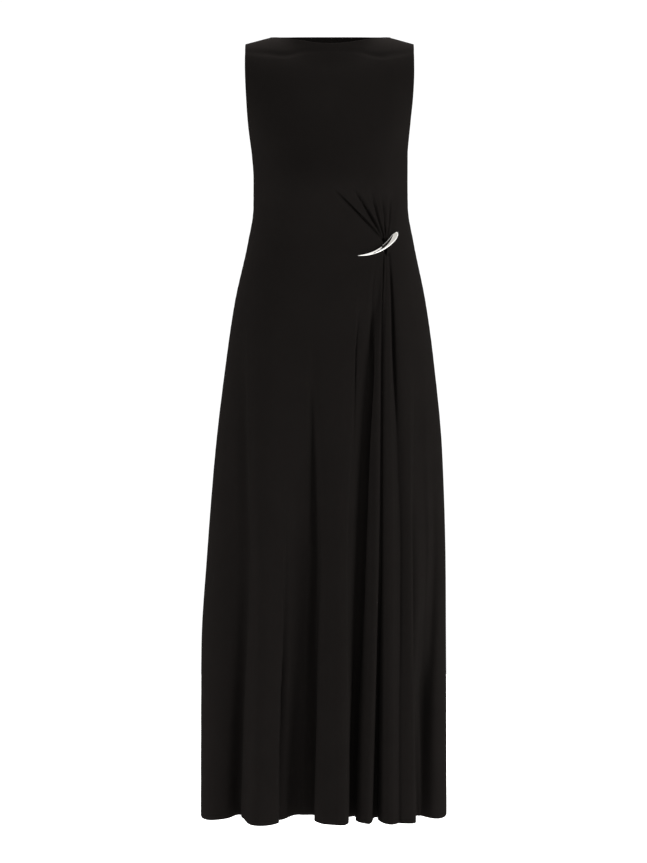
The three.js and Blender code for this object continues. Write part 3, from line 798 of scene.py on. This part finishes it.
LOOP_WIDTH = 0.00078  # of one knitted loop, in metres
LOOP_HEIGHT = 0.0006
CAMERA_LENS = 75.75
CAMERA_PLACE = (-0.0124, -3.5, -0.32)
CAMERA_TILT = 7.02  # degrees down
Softbox = namedtuple("Softbox", "name place target size power")
SOFTBOXES = [
    Softbox("softbox_left", (-3.0, -1.3, -0.35), (0, 0, -0.6), (1.0, 2.1), 76),
    Softbox("softbox_right", (3.0, -1.3, -0.15), (0, 0, -0.5), (1.0, 2.5), 124),
    Softbox("softbox_top", (0, 0.5, 1.6), (0, 0, 0), (1.2, 0.8), 160),
]
STAGE_GREY = (0.8, 0.8, 0.8, 1)

METAL_POLISHED = (0.88, 0.865, 0.83)
METAL_GRAINED = (0.56, 0.54, 0.5)
# dark colour that paints shade into the horn's slot, the line between its leaves and its thin rim
METAL_PAINTED_SHADE = (0.02, 0.018, 0.016)
JERSEY_DARK = (0.0064, 0.0056, 0.0052)
JERSEY_LIGHT = (0.0078, 0.0068, 0.0063)


def jersey_material():
    """Fine black jersey: rows of small loops, a soft nap and slightly uneven dye."""
    nodes = Nodes("black_jersey")
    place = nodes.add("ShaderNodeAttribute", attribute_name="cloth").outputs["Vector"]
    split = nodes.add("ShaderNodeSeparateXYZ", {0: place})
    wale = nodes.math("MULTIPLY", split.outputs["X"], 1 / LOOP_WIDTH)
    course = nodes.math("MULTIPLY", split.outputs["Y"], 1 / LOOP_HEIGHT)
    leg = nodes.math("PINGPONG", wale, 0.5)
    slant = nodes.math("ADD", course, leg)
    loop = nodes.math("PINGPONG", slant, 0.5)
    groove = nodes.math("MULTIPLY", nodes.math("PINGPONG", wale, 0.5), 1.4)
    knit = nodes.math("ADD", nodes.math("MULTIPLY", loop, 0.6), groove)
    fibres = nodes.add("ShaderNodeTexNoise", {"Vector": place, "Scale": 900.0, "Detail": 3.0})
    relief = nodes.math("ADD", knit, nodes.math("MULTIPLY", fibres.outputs["Fac"], 0.6))
    bump = nodes.add("ShaderNodeBump", {"Height": relief, "Strength": 0.12, "Distance": 0.0002})
    nodes.link(bump.outputs["Normal"], "Normal")
    cloud = nodes.add("ShaderNodeTexNoise", {"Vector": place, "Scale": 14.0, "Detail": 4.0})
    nodes.link(nodes.mix(cloud.outputs["Fac"], JERSEY_DARK, JERSEY_LIGHT), "Base Color")
    nodes.shader.inputs["Roughness"].default_value = 0.85
    nodes.shader.inputs["Specular IOR Level"].default_value = 0.0
    nodes.shader.inputs["Sheen Weight"].default_value = 0.002
    nodes.shader.inputs["Sheen Roughness"].default_value = 0.5
    return nodes.material


def metal_material():
    """Bright metal, polished at the border and finely grained on the broad face, with shade painted darker
    into the slot, the line between the leaves and the thin rim.
    """
    nodes = Nodes("polished_metal")
    grain = nodes.add("ShaderNodeAttribute", attribute_name="grain").outputs["Fac"]
    place = nodes.add("ShaderNodeTexCoord").outputs["Object"]
    speckle = nodes.add("ShaderNodeTexNoise", {"Vector": place, "Scale": 900.0, "Detail": 5.0})
    cells = nodes.add("ShaderNodeTexVoronoi", {"Vector": place, "Scale": 1100.0})
    pits = nodes.math("MULTIPLY", cells.outputs["Distance"], 0.5)
    rough_face = nodes.math("ADD", speckle.outputs["Fac"], pits)
    scratch = nodes.add("ShaderNodeTexNoise", {"Vector": place, "Scale": 160.0, "Detail": 6.0})
    height = nodes.math("MULTIPLY", rough_face, grain)
    height = nodes.math("ADD", height, nodes.math("MULTIPLY", scratch.outputs["Fac"], 0.05))
    bump = nodes.add("ShaderNodeBump", {"Height": height, "Strength": 0.5, "Distance": 0.0003})
    nodes.link(bump.outputs["Normal"], "Normal")
    # painted shade: the shade mask pulls the colour towards a dark metal in the slot, the line and the rim
    shade = nodes.add("ShaderNodeAttribute", attribute_name="shade").outputs["Fac"]
    bright = nodes.mix(grain, METAL_POLISHED, METAL_GRAINED)
    nodes.link(nodes.mix(shade, bright, METAL_PAINTED_SHADE), "Base Color")
    smear = nodes.math("MULTIPLY", scratch.outputs["Fac"], 0.08)
    nodes.link(nodes.math("ADD", nodes.math("MULTIPLY", grain, 0.26), smear), "Roughness")
    nodes.shader.inputs["Metallic"].default_value = 1.0
    return nodes.material


def add_area_light(name, location, target, size, power):
    data = bpy.data.lights.new(name, "AREA")
    data.shape = "RECTANGLE"
    data.size, data.size_y = size
    data.energy = power
    light = bpy.data.objects.new(name, data)
    light.location = location
    light.visible_glossy = False
    light.rotation_euler = (Vector(target) - Vector(location)).to_track_quat("-Z", "Y").to_euler()
    bpy.context.scene.collection.objects.link(light)


def add_camera():
    """The photo's view: from the front, a little below the neck, tilted down."""
    data = bpy.data.cameras.new("camera")
    data.lens = CAMERA_LENS
    camera = bpy.data.objects.new("camera", data)
    camera.location = CAMERA_PLACE
    camera.rotation_euler = (math.radians(90 - CAMERA_TILT), 0, 0)
    bpy.context.scene.collection.objects.link(camera)
    bpy.context.scene.camera = camera


def stage_piece(name, profile, material):
    """A sheet of the stage: the profile's (y, z) points drawn out along X."""
    vertices = [(x, y, z) for y, z in profile for x in (-STAGE_HALF_WIDTH, STAGE_HALF_WIDTH)]
    faces = [(2 * k, 2 * k + 1, 2 * k + 3, 2 * k + 2) for k in range(len(profile) - 1)]
    mesh = bpy.data.meshes.new(name)
    mesh.from_pydata(vertices, [], faces)
    mesh.shade_smooth()
    mesh.materials.append(material)
    piece = bpy.data.objects.new(name, mesh)
    bpy.context.scene.collection.objects.link(piece)
    return piece


def add_stage(floor_z):
    """A pale floor, and behind the dress a white reflector that throws light back, unseen as a lamp is."""
    nodes = Nodes("stage_white")
    nodes.shader.inputs["Base Color"].default_value = STAGE_GREY
    nodes.shader.inputs["Emission Color"].default_value = (1, 1, 1, 1)
    nodes.shader.inputs["Emission Strength"].default_value = STAGE_GLOW
    nodes.shader.inputs["Roughness"].default_value = 0.9
    nodes.shader.inputs["Specular IOR Level"].default_value = 0.0
    stage_piece("stage_floor", [(FLOOR_FRONT, floor_z), (FLOOR_BACK, floor_z)], nodes.material)
    sweep = [(FLOOR_BACK, floor_z)]
    for k in range(1, SWEEP_STEPS + 1):
        a = math.pi / 2 * k / SWEEP_STEPS
        sweep.append((FLOOR_BACK + SWEEP_RADIUS * math.sin(a), floor_z + SWEEP_RADIUS * (1 - math.cos(a))))
    sweep.append((FLOOR_BACK + SWEEP_RADIUS, floor_z + SWEEP_TOP))
    reflector = stage_piece("stage_reflector", sweep, nodes.material)
    reflector.visible_camera = False


def add_lights():
    """Tall softboxes at both sides and one overhead, in a white room that is dim in front."""
    world = bpy.data.worlds.new("studio")
    world.use_nodes = True
    tree = world.node_tree
    background = tree.nodes["Background"]
    background.inputs["Color"].default_value = (1, 1, 1, 1)
    ray = tree.nodes.new("ShaderNodeLightPath")
    strength = tree.nodes.new("ShaderNodeMapRange")
    strength.inputs["To Min"].default_value = ROOM_WHITE
    strength.inputs["To Max"].default_value = ROOM_FILL
    tree.links.new(ray.outputs["Is Diffuse Ray"], strength.inputs["Value"])
    tree.links.new(strength.outputs["Result"], background.inputs["Strength"])
    bpy.context.scene.world = world
    bpy.context.scene.view_settings.view_transform = "Standard"
    for softbox in SOFTBOXES:
        add_area_light(*softbox)


add_camera()
add_lights()
add_stage(cad_box[0][2] - FLOOR_GAP)
jersey = jersey_material()
metal = metal_material()
front_half = ClothHalf(FRONT_LINES, -1, "front", ARMHOLE_FRONT)
back_half = ClothHalf(BACK_LINES, 1, "back", ARMHOLE_BACK)
for node_name, half, creases, cut, area, seed in (
        ("front_panel", front_half, FRONT_CREASES, FRONT_CUT, FRONT_AREA, 3),
        ("back_panel", back_half, BACK_CREASES, BACK_CUT, BACK_AREA, 5)):
    surface = cloth_surface(half, creases, seed)
    cloth = wall_mesh(node_name.replace("panel", "cloth"), half, surface)
    cloth.data.materials.append(jersey)
    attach(cloth, "root")
    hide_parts(node_name)
horn = horn_piece(front_half)
horn.data.materials.append(metal)
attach(horn, "root")
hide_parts("horn_ornament")
